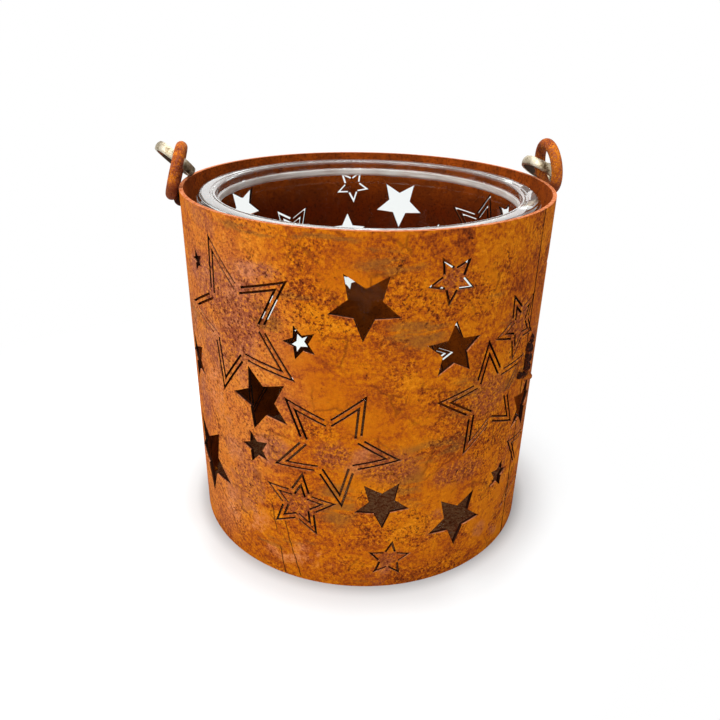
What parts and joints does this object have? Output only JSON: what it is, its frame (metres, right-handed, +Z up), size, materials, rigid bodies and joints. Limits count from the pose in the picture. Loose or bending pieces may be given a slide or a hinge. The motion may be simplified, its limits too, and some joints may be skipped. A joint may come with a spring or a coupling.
{
  "type": "candle lantern",
  "caption": "Round rusted sheet steel candle lantern with star cut-outs, a lift-out glass jar, and welded wire ears with small nickel rings for a hanger.",
  "frame": {"origin": "middle of the base, on the surface the lantern stands on", "axes": "+Z up along the lantern's axis; -Y is the front, and the ears are near +X and -X"},
  "size_m": [0.1384, 0.12, 0.1307],
  "materials": {
    "rusted_steel": "dry orange rust",
    "rusted_wire": "speckled brown rust",
    "weld_metal": "dark rusted weld",
    "clear_glass": "clear pressed glass",
    "nickel": "dull nickel plate"
  },
  "bodies": {
    "lantern": {"shell": "rusted_steel", "floor_plate": "rusted_steel", "floor_welds": "weld_metal", "seam_weld": "weld_metal", "ear_left": "rusted_wire", "ear_right": "rusted_wire", "ear_weld_left": "weld_metal", "ear_weld_right": "weld_metal"},
    "jar": {"glass_jar": "clear_glass"},
    "left_ring": {"ring_left": "nickel"},
    "right_ring": {"ring_right": "nickel"},
    "lower_ring": {"lower_ring_right": "nickel"}
  },
  "joints": [
    {"name": "jar_lift", "type": "slide", "parent": "lantern", "child": "jar", "axis": [0, 0, 1], "range_m": [0, 0.15]},
    {"name": "left_ring_turn", "type": "hinge", "parent": "lantern", "child": "left_ring", "pos_m": [-0.06041, -0.0073, 0.12072], "axis": [0.9418, 0.1661, -0.2924], "range_deg": [0, 60]},
    {"name": "right_ring_turn", "type": "hinge", "parent": "lantern", "child": "right_ring", "pos_m": [0.06046, 0.00903, 0.12154], "axis": [0.974, 0.1456, 0.1736], "range_deg": [0, 60]},
    {"name": "lower_ring_swing", "type": "hinge", "parent": "right_ring", "child": "lower_ring", "pos_m": [0.06426, 0.02147, 0.11537], "axis": [0.9406, -0.2786, 0.1942], "range_deg": [0, 40]}
  ]
}
